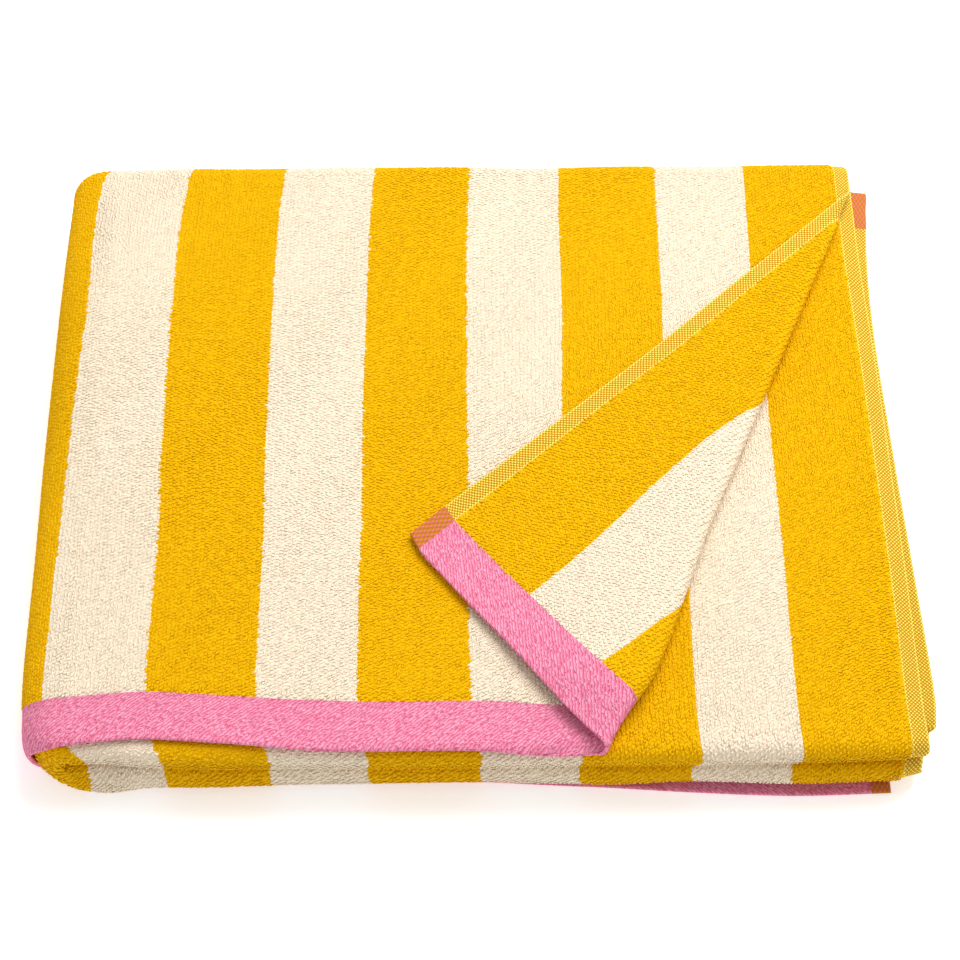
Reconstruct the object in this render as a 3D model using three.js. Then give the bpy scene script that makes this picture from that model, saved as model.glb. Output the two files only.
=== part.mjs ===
// A folded terry bath towel, as one closed solid.
// Units are millimetres, +Z is up, and the origin is on the resting surface, under the middle of the pack.
// The towel is first folded over and over along its length into five panels, so that the outer panel
// ends in a hem at the front and the inner one in a hem at the back, and the pack is then folded in
// half across its width, with that fold at the left. The front right corner of the top panel is
// turned back over the pack. A point of the cloth is named by u, across the width from selvedge to
// selvedge, and v, along the length from hem to hem.
import * as THREE from "three";

// The cloth
const WIDTH = 700;
const LENGTH = 1400;
const HEM = 19.8;
const SELVEDGE = 7.4;
const TERRY_THICK = 2.4;
const HEM_THICK = 1.8;
const SELVEDGE_THICK = 1.3;
const PRESSED = { radius: 2.6, reach: 6, share: 0.6 }; // how thin the cloth gets in its tightest bends

// The pack: ten layers, five above the middle plane and five below it
const LAYER_PITCH = 3.4;
const PANELS = 5;
const HALF_HEIGHT = PANELS * LAYER_PITCH;
const HALF_LENGTH_X = 176;

// How deep each panel lies under the outer face of its half, counted in layers from the outside
const PANEL_LAYERS = [0.5, 4.5, 1.5, 3.5, 2.5];

// Where the panels end or turn, from front to back: the first panel's hem, the turns in their order
// from the first panel to the last, and the last panel's hem
const FIRST_HEM_Y = -135.4;
const TURN_Y = [133.3, -132.0, 133.3, -126.5];
const LAST_HEM_Y = 128.8;

// Left fold and right edges at a distance y from front to back: the outer face of the fold, the
// cloth's middle line on that face, the right edge of the first panel on top and underneath, and
// the right edges of the other panels. Those next to the middle plane lie in small waves, which
// draw their edges in.
const SIDES = [
  { y: -141, fold: -165.0, middle: 350.8, first: 175.2, under: 161.6, third: 172.8, fifth: 172.6, fourth: 172.0, second: 172.6 },
  { y: -133, fold: -169.8, middle: 351.0, first: 175.0, under: 161.6, third: 172.8, fifth: 174.0, fourth: 172.0, second: 172.6 },
  { y: -128, fold: -171.2, middle: 351.0, first: 174.8, under: 161.6, third: 172.6, fifth: 176.6, fourth: 172.0, second: 171.6 },
  { y: -120, fold: -172.0, middle: 351.0, first: 174.6, under: 161.6, third: 172.3, fifth: 177.8, fourth: 172.0, second: 170.8 },
  { y: -100, fold: -173.2, middle: 351.0, first: 173.6, under: 161.6, third: 172.0, fifth: 177.6, fourth: 171.6, second: 169.8 },
  { y: -50, fold: -174.2, middle: 350.4, first: 171.0, under: 161.8, third: 171.3, fifth: 175.1, fourth: 170.4, second: 168.5 },
  { y: 0, fold: -175.4, middle: 349.4, first: 168.6, under: 162.0, third: 170.0, fifth: 172.6, fourth: 169.0, second: 167.0 },
  { y: 50, fold: -176.2, middle: 348.2, first: 167.4, under: 162.2, third: 168.6, fifth: 170.5, fourth: 167.0, second: 166.0 },
  { y: 90, fold: -176.6, middle: 347.2, first: 166.0, under: 162.0, third: 166.6, fifth: 170.7, fourth: 166.0, second: 165.0 },
  { y: 118, fold: -176.6, middle: 347.0, first: 165.3, under: 161.8, third: 166.2, fifth: 172.8, fourth: 164.5, second: 164.0 },
  { y: 132, fold: -176.6, middle: 347.0, first: 165.3, under: 161.8, third: 165.8, fifth: 172.8, fourth: 163.5, second: 163.5 },
  { y: 136, fold: -176.5, middle: 347.0, first: 165.3, under: 161.8, third: 164.8, fifth: 164.0, fourth: 163.3, second: 163.3 },
  { y: 144, fold: -176.4, middle: 347.0, first: 165.3, under: 161.8, third: 163.8, fifth: 163.8, fourth: 163.3, second: 163.3 },
];

// Front of the pack at a distance x from left to right: the first panel's hem as it lies before its
// corner is turned back, the nose of the upper and of the lower turn, the hem underneath, and how
// far the lower nose sags
const FRONT = [
  { x: -174, hem: -136.5, upper: -130.5, lower: -131.5, under: -133.5, sag: 1.0 },
  { x: -154, hem: -133.7, upper: -136.8, lower: -138.6, under: -135.5, sag: 2.4 },
  { x: -139, hem: -132.1, upper: -136.8, lower: -142.0, under: -136.0, sag: 3.0 },
  { x: -123, hem: -131.0, upper: -138.1, lower: -140.6, under: -136.6, sag: 2.0 },
  { x: -96, hem: -132.6, upper: -139.1, lower: -140.6, under: -136.0, sag: 1.2 },
  { x: -61, hem: -135.4, upper: -138.8, lower: -139.6, under: -135.5, sag: 1.0 },
  { x: 4, hem: -135.4, upper: -138.4, lower: -138.7, under: -136.0, sag: 1.0 },
  { x: 34, hem: -137.5, upper: -137.9, lower: -139.1, under: -137.4, sag: 1.0 },
  { x: 54, hem: -137.6, upper: -137.8, lower: -139.5, under: -138.3, sag: 1.0 },
  { x: 84, hem: -138.4, upper: -137.6, lower: -138.3, under: -140.1, sag: 0.8 },
  { x: 124, hem: -135.4, upper: -136.8, lower: -139.4, under: -141.6, sag: 0.6 },
  { x: 154, hem: -133.4, upper: -135.3, lower: -138.3, under: -140.7, sag: 0.4 },
  { x: 166, hem: -132.6, upper: -134.6, lower: -137.6, under: -140.2, sag: 0.4 },
  { x: 176, hem: -129.6, upper: -133.5, lower: -134.2, under: -139.9, sag: 0.4 },
];
const FRONT_EASE = 70; // how far from the front the uneven front line dies out
const INNER_RUN = 6; // from this run of the section on, the cloth lies inside the nose
const INNER_FROM = -154; // and its own front line is straight to the left of here
const NOSE_RADIUS = ((PANEL_LAYERS[1] - PANEL_LAYERS[2]) * LAYER_PITCH + TERRY_THICK) / 2;
const NOSE_Y = TURN_Y[1] - NOSE_RADIUS;
const NOSE_REACH = 0.75; // how far over the nose, as a share of its radius, the hem on it bends

// Long soft waves of the top, and the sinking of the stack at its thin right edge and over its noses
const WAVES = [
  { rise: 0.5, alongX: 210, alongY: 330, phase: 0.6 },
  { rise: 0.35, alongX: 96, alongY: -170, phase: 2.1 },
  { rise: 0.25, alongX: -64, alongY: 88, phase: 4.0 },
];
const RIGHT_SINK = { from: 158, to: 176, share: 0.1 };
const NOSE_SAG = { from: -135, to: -141, upper: 0.8 };

// The lower part of the left fold bulges outwards and down near the front
const BULGE = { from: -95, to: -135, most: 2.3 };

// The back of the pack leans a little back towards the right
const BACK_LEAN = { from: 60, to: 130, left: -0.6, right: 2.2 };

// The corner that is turned back: the line it is turned over, from the right edge to the hem, the
// radius of the roll at both ends of that line, and how fast the corner settles on the panel
const TURN_BACK = {
  right: new THREE.Vector2(164.5, 122.5),
  hem: new THREE.Vector2(55.6, -135.5),
  rollAtRight: 1.6,
  rollAtHem: 3.9,
  settle: 42,
  rest: 3.5,
};

// The mesh: how many steps each stretch of cloth gets
const ROLL_STEPS = 6;
const STEPS_ACROSS = { lower: 5, fold: 9, upper: 7, corner: 5 };
const LEAST_STEP = 0.6;
const LEVELS = [-118, -98, -56, 14, 84, 122]; // distances y at which every panel has a row
const FIRST_PANEL_STEP = 10.5; // the first panel has further rows, at most this far apart
const HEM_ROWS = [2.2, 4.4, 12];
const TURN_STEPS = [7, 6, 5, 4];
const LOOSEN = 30; // how far along the second panel the columns become even
const HALVINGS = 20; // how closely the start and end of the roll are found in a row
const NEAR = 0.05; // a short way along the cloth, for measuring how it slopes

// A smooth step from 0 at a to 1 at b
const ease = (value, a, b) => THREE.MathUtils.smoothstep(value, a, b);

// One column of a table at a place between its rows, on a smooth curve through them
function between(table, key, column, place) {
  const last = table.length - 1;
  const at = THREE.MathUtils.clamp(place, table[0][key], table[last][key]);
  let row = table.findIndex((entry) => entry[key] >= at);
  row = Math.max(row, 1);
  const slope = (i) => {
    const a = table[Math.max(i - 1, 0)];
    const b = table[Math.min(i + 1, last)];
    return (b[column] - a[column]) / (b[key] - a[key]);
  };
  const from = table[row - 1];
  const to = table[row];
  const gap = to[key] - from[key];
  const t = (at - from[key]) / gap;
  return (
    from[column] * (2 * t ** 3 - 3 * t ** 2 + 1) +
    to[column] * (3 * t ** 2 - 2 * t ** 3) +
    slope(row - 1) * gap * (t ** 3 - 2 * t ** 2 + t) +
    slope(row) * gap * (t ** 3 - t ** 2)
  );
}

// The section along the length: flat runs joined by half circles, each with its own length
function sectionRuns() {
  const depth = PANEL_LAYERS.map((layers) => layers * LAYER_PITCH);
  const ends = [FIRST_HEM_Y, ...TURN_Y, LAST_HEM_Y];
  const runs = [];
  for (let i = 0; i < PANELS; i++) {
    runs.push({ panel: i, from: ends[i], to: ends[i + 1], depth: depth[i] });
    if (i === PANELS - 1) break;
    const radius = Math.abs(depth[i + 1] - depth[i]) / 2;
    const side = Math.sign(depth[i + 1] - depth[i]);
    const out = Math.sign(ends[i + 1]);
    const turn = { panel: i, at: ends[i + 1], middle: (depth[i] + depth[i + 1]) / 2, radius, side, out };
    runs.push(turn);
  }
  let start = 0;
  for (const run of runs) {
    run.start = start;
    run.length = run.radius ? Math.PI * run.radius : Math.abs(run.to - run.from);
    start += run.length;
  }
  return runs;
}
const RUNS = sectionRuns();
const SECTION_LENGTH = RUNS.at(-1).start + RUNS.at(-1).length;
const EASE_ALONG = SECTION_LENGTH / LENGTH; // the cloth lies in waves too small to show here

// Place in the section of a point at v: its y, its depth and how wide it bends there
function section(v) {
  const s = v * EASE_ALONG;
  const run = RUNS.findLast((entry) => entry.start <= s) ?? RUNS[0];
  const t = (s - run.start) / run.length;
  if (!run.radius) return { y: run.from + (run.to - run.from) * t, depth: run.depth, radius: Infinity };
  const angle = Math.PI * t;
  return {
    y: run.at + run.out * run.radius * Math.sin(angle),
    depth: run.middle - run.side * run.radius * Math.cos(angle),
    radius: run.radius,
  };
}

// Right edge of a layer at a depth under the outer face, between the edges of the panels over and
// under it
function rightEdge(y, depth, upper) {
  const columns = [upper ? "first" : "under", "third", "fifth", "fourth", "second"];
  const layer = THREE.MathUtils.clamp(depth / LAYER_PITCH - 0.5, 0, PANELS - 1);
  const over = Math.min(Math.floor(layer), PANELS - 2);
  const [a, b] = [over, over + 1].map((i) => between(SIDES, "y", columns[i], y));
  return THREE.MathUtils.lerp(a, b, layer - over);
}

// How thin the cloth is at u, v: 0 for terry, and the share of selvedge and of hem
function bands(u, v) {
  const side = Math.min(u, WIDTH - u);
  const end = Math.min(v, LENGTH - v);
  return { selvedge: 1 - ease(side, SELVEDGE - 1, SELVEDGE + 2), hem: 1 - ease(end, HEM - 1, HEM + 2) };
}
function thickness(u, v) {
  const { selvedge, hem } = bands(u, v);
  const plain = THREE.MathUtils.lerp(TERRY_THICK, HEM_THICK, hem);
  const thick = THREE.MathUtils.lerp(plain, Math.min(plain, SELVEDGE_THICK + 0.5 * hem), selvedge);
  const { depth, radius } = section(v);
  const foldHere = Math.abs(u - WIDTH / 2) < PRESSED.reach && HALF_HEIGHT - depth < PRESSED.radius;
  return foldHere || radius < PRESSED.radius ? PRESSED.share * thick : thick;
}

// Height that the soft waves add to the top of the stack
function waves(x, y) {
  return WAVES.reduce((sum, w) => {
    const turn = (2 * Math.PI * x) / w.alongX + (2 * Math.PI * y) / w.alongY + w.phase;
    return sum + w.rise * Math.sin(turn);
  }, 0);
}

// The pack without its turned-back corner: the middle of the cloth at u, v
function packPoint(u, v) {
  const place = section(v);
  const thin = TERRY_THICK - thickness(u, v);
  const middle = between(SIDES, "y", "middle", place.y);
  const across = u - middle;
  const upper = across > 0;
  const radius = HALF_HEIGHT - place.depth;
  const bend = (Math.PI * radius) / 2;
  const axis = between(SIDES, "y", "fold", place.y) + HALF_HEIGHT;
  const angle = Math.min(Math.abs(across) / radius, Math.PI / 2) * Math.sign(across);
  const bulging = upper ? 0 : BULGE.most * ease(-place.y, -BULGE.from, -BULGE.to);
  const bulge = bulging * (radius / HALF_HEIGHT) * Math.sin(2 * angle) ** 2;
  let x = axis - radius * Math.cos(angle) - bulge;
  if (Math.abs(across) > bend) {
    const width = upper ? WIDTH - middle : middle;
    const reach = rightEdge(place.y, place.depth, upper) - axis;
    x = axis + ((Math.abs(across) - bend) * reach) / (width - bend);
  }
  const top = (1 + Math.sin(angle)) / 2;

  // the uneven front line, for the outer panel and for the noses, and the leaning back
  const nearFront = 1 - ease(place.y, FIRST_HEM_Y, FIRST_HEM_Y + FRONT_EASE);
  const outer = 1 - ease(place.depth, 0.5 * LAYER_PITCH, 1.5 * LAYER_PITCH);
  const innerTurn = v * EASE_ALONG > RUNS[INNER_RUN].start;
  const at = (column) => between(FRONT, "x", column, innerTurn ? Math.max(x, INNER_FROM) : x);
  const hemShift = THREE.MathUtils.lerp(at("under"), at("hem"), top) - FIRST_HEM_Y;
  const noseShift = THREE.MathUtils.lerp(at("lower"), at("upper"), top) - NOSE_Y;
  const lean = THREE.MathUtils.mapLinear(x, -HALF_LENGTH_X, HALF_LENGTH_X, BACK_LEAN.left, BACK_LEAN.right);
  const nearBack = ease(place.y, BACK_LEAN.from, BACK_LEAN.to);
  const y = place.y + THREE.MathUtils.lerp(noseShift, hemShift, outer) * nearFront + lean * nearBack;

  // thin parts of the outer panel sink on what lies under them, and its hem bends over the nose
  const pastNose = THREE.MathUtils.clamp(TURN_Y[1] + noseShift - y, 0, NOSE_REACH * NOSE_RADIUS);
  const overNose = top * (NOSE_RADIUS - Math.sqrt(NOSE_RADIUS ** 2 - pastNose ** 2));
  const sunk = radius - outer * ((thin / 2) * Math.sin(angle) + overNose);
  const z = HALF_HEIGHT + sunk * Math.sin(angle) - bulge;

  // the stack sinks and waves in its height, and not at all on the surface it lies on
  const share = ease(z, LAYER_PITCH / 2, 2 * LAYER_PITCH) * (z / (2 * HALF_HEIGHT));
  const low = RIGHT_SINK.share * ease(x, RIGHT_SINK.from, RIGHT_SINK.to) * 2 * HALF_HEIGHT;
  const sag = THREE.MathUtils.lerp(at("sag"), NOSE_SAG.upper, top) * (1 - outer);
  const noseSag = sag * ease(-y, -NOSE_SAG.from, -NOSE_SAG.to);
  return new THREE.Vector3(x, y, z + share * (waves(x, y) - low) - noseSag);
}

// The line that the corner is turned over, and the way across it towards the corner
const LINE = TURN_BACK.hem.clone().sub(TURN_BACK.right);
const LINE_LENGTH = LINE.length();
LINE.normalize();
const ACROSS_LINE = new THREE.Vector2(-LINE.y, LINE.x);
function fromLine(x, y) {
  const offset = new THREE.Vector2(x, y).sub(TURN_BACK.right);
  const along = offset.dot(LINE);
  const share = THREE.MathUtils.clamp(along / LINE_LENGTH, 0, 1.1);
  const roll = THREE.MathUtils.lerp(TURN_BACK.rollAtRight, TURN_BACK.rollAtHem, share);
  return { along, roll, past: offset.dot(ACROSS_LINE) + (Math.PI * roll) / 2 };
}

// A point of the first panel's upper half, turned back where it lies beyond the line
function turnedBack(flat) {
  const { along, roll, past } = fromLine(flat.x, flat.y);
  if (past <= 0) return flat;
  const around = Math.min(past / roll, Math.PI);
  const rest = past - roll * around;
  const over = roll * Math.sin(around) - rest - (Math.PI * roll) / 2;
  const settled = THREE.MathUtils.lerp(TURN_BACK.rest, 2 * roll, Math.exp(-((rest / TURN_BACK.settle) ** 2)));
  const rise = around < Math.PI ? roll * (1 - Math.cos(around)) : settled;
  const plan = TURN_BACK.right
    .clone()
    .addScaledVector(LINE, along)
    .addScaledVector(ACROSS_LINE, over);
  const under = 2 * HALF_HEIGHT - LAYER_PITCH / 2 + waves(plan.x, plan.y);
  const sag = flat.z - (2 * HALF_HEIGHT - LAYER_PITCH / 2 + waves(flat.x, flat.y));
  return new THREE.Vector3(plan.x, plan.y, under + rise + sag * Math.cos(around / 2) ** 2);
}

// The middle of the cloth at u, v, in the folded towel
function clothPoint(u, v) {
  const point = packPoint(u, v);
  const inFirstPanel = v * EASE_ALONG < RUNS[1].start;
  return inFirstPanel && u > WIDTH / 2 ? turnedBack(point) : point;
}

// Values spread evenly from a to b in a number of steps, without the last
const spread = (a, b, steps) => Array.from({ length: steps }, (_, i) => a + ((b - a) * i) / steps);

// Rows of the mesh along the length: the hems, each flat run at the levels, and each turn
function rowsAlong() {
  const rows = [0, ...HEM_ROWS];
  for (const run of RUNS) {
    const along = (s) => (run.start + s) / EASE_ALONG;
    if (run.radius) {
      rows.push(...spread(along(0), along(run.length), TURN_STEPS[run.panel]));
      continue;
    }
    const onTheWay = LEVELS.map((y) => along(Math.abs(y - run.from))).sort((a, b) => a - b);
    const first = run === RUNS[0] ? HEM : along(0);
    const end = Math.min(along(run.length), LENGTH - HEM);
    const stops = [first, ...onTheWay.filter((v) => v > first + LEAST_STEP && v < end - LEAST_STEP), end];
    for (let i = 1; i < stops.length; i++) {
      const steps = run === RUNS[0] ? Math.ceil((stops[i] - stops[i - 1]) / FIRST_PANEL_STEP) : 1;
      rows.push(...spread(stops[i - 1], stops[i], steps));
    }
  }
  rows.push(LENGTH - HEM, LENGTH);
  return rows;
}

// The place across the width, between start and the edge, where the row at v has gone a share of
// the way round the roll. It is found by halving, and is the edge itself where the row misses the roll.
function alongRoll(v, start, share) {
  let low = start;
  let high = WIDTH;
  for (let i = 0; i < HALVINGS; i++) {
    const u = (low + high) / 2;
    const flat = packPoint(u, v);
    const { roll, past } = fromLine(flat.x, flat.y);
    if (past > share * Math.PI * roll) high = u;
    else low = u;
  }
  return high;
}

// Columns of the mesh across the width in the row at v. On the first panel they gather at the roll
// of the turned-back corner, over the second panel they loosen, and from there they are even.
function columnsAcross(v) {
  const place = section(v);
  const middle = between(SIDES, "y", "middle", place.y);
  const bend = (Math.PI / 2) * (HALF_HEIGHT - place.depth);
  const start = middle + bend;
  const inner = WIDTH - SELVEDGE;
  const most = WIDTH - (STEPS_ACROSS.corner + 1) * LEAST_STEP;
  const inFirstPanel = v * EASE_ALONG < RUNS[1].start;
  const gatheredEnd = inFirstPanel ? Math.min(alongRoll(v, start, 1), most) : most;
  const latestStart = gatheredEnd - ROLL_STEPS * LEAST_STEP;
  const gatheredStart = inFirstPanel ? Math.min(alongRoll(v, start, 0), latestStart) : latestStart;
  const even = (inner - start) / (STEPS_ACROSS.upper + ROLL_STEPS + STEPS_ACROSS.corner);
  const evenStart = start + even * STEPS_ACROSS.upper;
  const evenEnd = evenStart + even * ROLL_STEPS;
  const loose = ease(v * EASE_ALONG, RUNS[2].start, RUNS[2].start + LOOSEN);
  const rollStart = THREE.MathUtils.lerp(gatheredStart, evenStart, loose);
  const rollEnd = THREE.MathUtils.lerp(gatheredEnd, evenEnd, loose);
  const edge = Math.max(inner, rollEnd + STEPS_ACROSS.corner * LEAST_STEP);
  return [
    0,
    ...spread(SELVEDGE, middle - bend, STEPS_ACROSS.lower),
    ...spread(middle - bend, start, STEPS_ACROSS.fold),
    ...spread(start, rollStart, STEPS_ACROSS.upper),
    ...spread(rollStart, rollEnd, ROLL_STEPS),
    ...spread(rollEnd, edge, STEPS_ACROSS.corner),
    edge,
    WIDTH,
  ];
}

// The cloth as a closed solid: both faces of the sheet, half a thickness to each side of its middle,
// and the narrow wall round its edge
function clothGeometry() {
  const rows = rowsAlong();
  const grid = rows.map((v) => columnsAcross(v).map((u) => ({ u, v })));
  const across = grid[0].length;
  const inside = (value, most) => THREE.MathUtils.clamp(value, 0, most);
  const faces = [1, -1].map((side) =>
    grid.flatMap((row) =>
      row.map(({ u, v }) => {
        const [left, right] = [u - NEAR, u + NEAR].map((value) => inside(value, WIDTH));
        const [front, back] = [v - NEAR, v + NEAR].map((value) => inside(value, LENGTH));
        const slopeAcross = clothPoint(right, v).sub(clothPoint(left, v));
        const slopeAlong = clothPoint(u, back).sub(clothPoint(u, front));
        const normal = slopeAcross.cross(slopeAlong).normalize();
        return clothPoint(u, v).addScaledVector(normal, (side * thickness(u, v)) / 2);
      }),
    ),
  );
  const positions = faces.flat().flatMap((point) => point.toArray());
  const second = rows.length * across;
  const index = [];
  const quad = (a, b, c, d) => index.push(a, b, c, a, c, d);
  for (let j = 0; j < rows.length - 1; j++) {
    for (let i = 0; i < across - 1; i++) {
      const a = j * across + i;
      quad(a, a + 1, a + 1 + across, a + across);
      quad(second + a, second + a + across, second + a + 1 + across, second + a + 1);
    }
    const left = j * across;
    const right = left + across - 1;
    quad(left, left + across, second + left + across, second + left);
    quad(right, second + right, second + right + across, right + across);
  }
  for (let i = 0; i < across - 1; i++) {
    const last = (rows.length - 1) * across + i;
    quad(i, second + i, second + i + 1, i + 1);
    quad(last, last + 1, second + last + 1, second + last);
  }
  const geometry = new THREE.BufferGeometry();
  geometry.setAttribute("position", new THREE.Float32BufferAttribute(positions, 3));
  geometry.setIndex(index);
  geometry.computeVertexNormals();
  return geometry;
}

const terry = new THREE.MeshStandardMaterial({ color: 0xf3b90a, roughness: 0.95, metalness: 0 });
const cloth = new THREE.Mesh(clothGeometry(), terry);
cloth.name = "towel_cloth";

// The origin goes to the middle of the footprint, on the surface that the towel lies on
cloth.geometry.computeBoundingBox();
const box = cloth.geometry.boundingBox;
cloth.position.set(-(box.min.x + box.max.x) / 2, -(box.min.y + box.max.y) / 2, -box.min.z);

const towel = new THREE.Group();
towel.add(cloth);
export default towel;
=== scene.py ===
# %% [markdown]
# # A folded bath towel
# The towel is one piece of terry cloth: cotton loops on both faces, golden yellow and cream
# stripes along its length, a flat woven pink hem at each end and a pale yellow selvedge down each
# side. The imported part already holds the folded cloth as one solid. Here that solid is replaced
# by a finer sheet on the same folds, and the loops are planted on it one by one.

import math

import bpy
import numpy as np
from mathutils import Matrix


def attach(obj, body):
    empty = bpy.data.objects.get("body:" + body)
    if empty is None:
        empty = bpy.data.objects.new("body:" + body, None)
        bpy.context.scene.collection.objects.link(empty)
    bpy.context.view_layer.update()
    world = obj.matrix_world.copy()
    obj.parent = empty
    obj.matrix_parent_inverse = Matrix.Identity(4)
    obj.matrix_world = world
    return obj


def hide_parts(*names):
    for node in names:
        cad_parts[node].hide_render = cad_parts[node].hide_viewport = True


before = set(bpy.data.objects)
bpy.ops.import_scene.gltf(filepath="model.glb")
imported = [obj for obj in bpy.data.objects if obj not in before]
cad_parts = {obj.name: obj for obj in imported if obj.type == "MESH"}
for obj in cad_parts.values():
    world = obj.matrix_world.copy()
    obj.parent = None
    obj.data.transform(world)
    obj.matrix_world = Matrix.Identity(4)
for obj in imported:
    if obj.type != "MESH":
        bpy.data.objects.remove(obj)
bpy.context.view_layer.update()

# %% [markdown]
# ## The size of the cloth
# A folded cloth can be modelled as a block with lines drawn on it, simulated, or worked out from
# the flat cloth. The last keeps the stripes, hems and selvedges where they are woven, because
# every point of the towel is then named by two numbers: u, across the width, and v, along the
# length. All sizes of the cloth are millimetres, and only finished meshes are turned into metres.

# %% Sizes of the flat cloth
MM = 0.001
WIDTH, LENGTH = 700.0, 1400.0
HEM, SELVEDGE = 19.8, 7.45
YELLOW_STRIPE, CREAM_STRIPE = 42.7, 37.6
TERRY_THICK, HEM_THICK, SELVEDGE_THICK = 2.4, 1.8, 1.3
LOOP_ACROSS, LOOP_ALONG = 1.52, 1.56  # from loop to loop
YELLOW_STRIPES, CREAM_STRIPES = 9, 8
woven = 2 * SELVEDGE + YELLOW_STRIPES * YELLOW_STRIPE + CREAM_STRIPES * CREAM_STRIPE
print("the stripes and selvedges take", round(woven, 1), "mm of", WIDTH)

# %% [markdown]
# ## The pack
# The cloth is folded over and over along its length into five panels, and the pack is then folded
# in half across its width, with that fold at the left. Seen from the end, the cloth runs through
# flat stretches joined by half circles. The tables give the uneven edges: each is a short list of
# places, read on a smooth curve through its rows.

# %% Sizes of the pack
LAYER_PITCH = 3.4  # from the middle of one layer to the middle of the next
PANELS = 5
HALF_HEIGHT = PANELS * LAYER_PITCH
HALF_LENGTH_X = 176.0  # from the middle of the pack to its left or right end
PANEL_LAYERS = (0.5, 4.5, 1.5, 3.5, 2.5)  # depth of each panel under the outer face, in layers
FIRST_HEM_Y, LAST_HEM_Y = -135.4, 128.8
TURN_Y = (133.3, -132.0, 133.3, -126.5)  # where the panels stop and the turns begin
print("the pack is", 2 * PANELS, "layers and", 2 * HALF_HEIGHT, "mm high")


# %% Tables of the uneven edges
def table(names, *rows):
    """A short table with named columns, as one array for each name. The first column is the place
    that the others are read at."""
    return dict(zip(names.split(), np.array(rows, float).T))


# From front to back: the left end of the fold, the place in the cloth that lies on it, and the
# right edges of the first panel's upper and lower half and of the other panels.
SIDES = table(
    "y     fold    middle first  under  third  fifth  fourth second",
    (-141, -165.0, 350.8, 175.2, 161.6, 172.8, 172.6, 172.0, 172.6),
    (-133, -169.8, 351.0, 175.0, 161.6, 172.8, 174.0, 172.0, 172.6),
    (-128, -171.2, 351.0, 174.8, 161.6, 172.6, 176.6, 172.0, 171.6),
    (-120, -172.0, 351.0, 174.6, 161.6, 172.3, 177.8, 172.0, 170.8),
    (-100, -173.2, 351.0, 173.6, 161.6, 172.0, 177.6, 171.6, 169.8),
    (-50, -174.2, 350.4, 171.0, 161.8, 171.3, 175.1, 170.4, 168.5),
    (0, -175.4, 349.4, 168.6, 162.0, 170.0, 172.6, 169.0, 167.0),
    (50, -176.2, 348.2, 167.4, 162.2, 168.6, 170.5, 167.0, 166.0),
    (90, -176.6, 347.2, 166.0, 162.0, 166.6, 170.7, 166.0, 165.0),
    (118, -176.6, 347.0, 165.3, 161.8, 166.2, 172.8, 164.5, 164.0),
    (132, -176.6, 347.0, 165.3, 161.8, 165.8, 172.8, 163.5, 163.5),
    (136, -176.5, 347.0, 165.3, 161.8, 164.8, 164.0, 163.3, 163.3),
    (144, -176.4, 347.0, 165.3, 161.8, 163.8, 163.8, 163.3, 163.3),
)
# From left to right: the front line of the hem on top, of the upper and the lower nose and of the
# hem underneath, and how far the lower nose sags.
FRONT = table(
    "x     hem     upper   lower   under   sag",
    (-174, -136.5, -130.5, -131.5, -130.0, 1.0),
    (-154, -133.7, -136.8, -139.6, -130.5, 2.4),
    (-139, -132.1, -136.8, -142.0, -133.0, 3.0),
    (-123, -131.0, -138.1, -140.6, -136.6, 2.0),
    (-96, -132.6, -139.1, -140.6, -136.0, 1.2),
    (-61, -135.4, -138.8, -139.6, -135.5, 1.0),
    (4, -135.4, -138.4, -138.7, -136.0, 1.0),
    (34, -137.5, -137.9, -139.1, -137.4, 1.0),
    (54, -137.6, -137.8, -139.5, -138.3, 1.0),
    (84, -138.4, -137.6, -138.3, -140.1, 0.8),
    (124, -135.4, -136.8, -139.4, -141.6, 0.6),
    (154, -133.4, -135.3, -138.3, -140.7, 0.4),
    (166, -132.6, -134.6, -137.6, -140.2, 0.4),
    (176, -129.6, -133.5, -134.2, -139.9, 0.4),
)
FRONT_EASE = 70.0  # how far from the front the uneven front line dies out
INNER_RUN, INNER_FROM = 6, -154.0  # from this run on, the front is read no further left than this
NOSE_RADIUS = ((PANEL_LAYERS[1] - PANEL_LAYERS[2]) * LAYER_PITCH + TERRY_THICK) / 2
NOSE_Y = TURN_Y[1] - NOSE_RADIUS
NOSE_REACH = 0.75  # how far the hem on top follows the round of the nose, in its radius
# Waves of the top: rise, length along x, length along y and phase
WAVES = ((0.5, 210, 330, 0.6), (0.35, 96, -170, 2.1), (0.25, -64, 88, 4.0))
# Places where the right end sinks, the noses sag, the lower half of the left fold bulges and the
# back leans, and how much each of them does
RIGHT_SINK = {"start": 158.0, "end": 176.0, "share": 0.1}
NOSE_SAG = {"start": -135.0, "end": -141.0, "upper": 0.8}
BULGE = {"start": -95.0, "end": -135.0, "most": 2.3}
BACK_LEAN = {"start": 60.0, "end": 130.0, "left": -0.6, "right": 2.2}
SETTLED = np.array([-1.000, -1.052, -0.500])  # from these sizes' origin to the part's

# %% [markdown]
# ## Stripes that wander
# When a towel is folded and patted flat, the cloth is drawn a little to one side here and there,
# so its stripes aren't quite straight. The surface could be bent for that, but then its outline
# would change too. Here the surface stays and the cloth slides along it. A table gives, for the
# top of the pack, how far to the right each edge of a stripe lies of where even cloth has it. The
# edges are numbered from the fold, and PANEL_DRAWN does the same for the panels inside.

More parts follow.
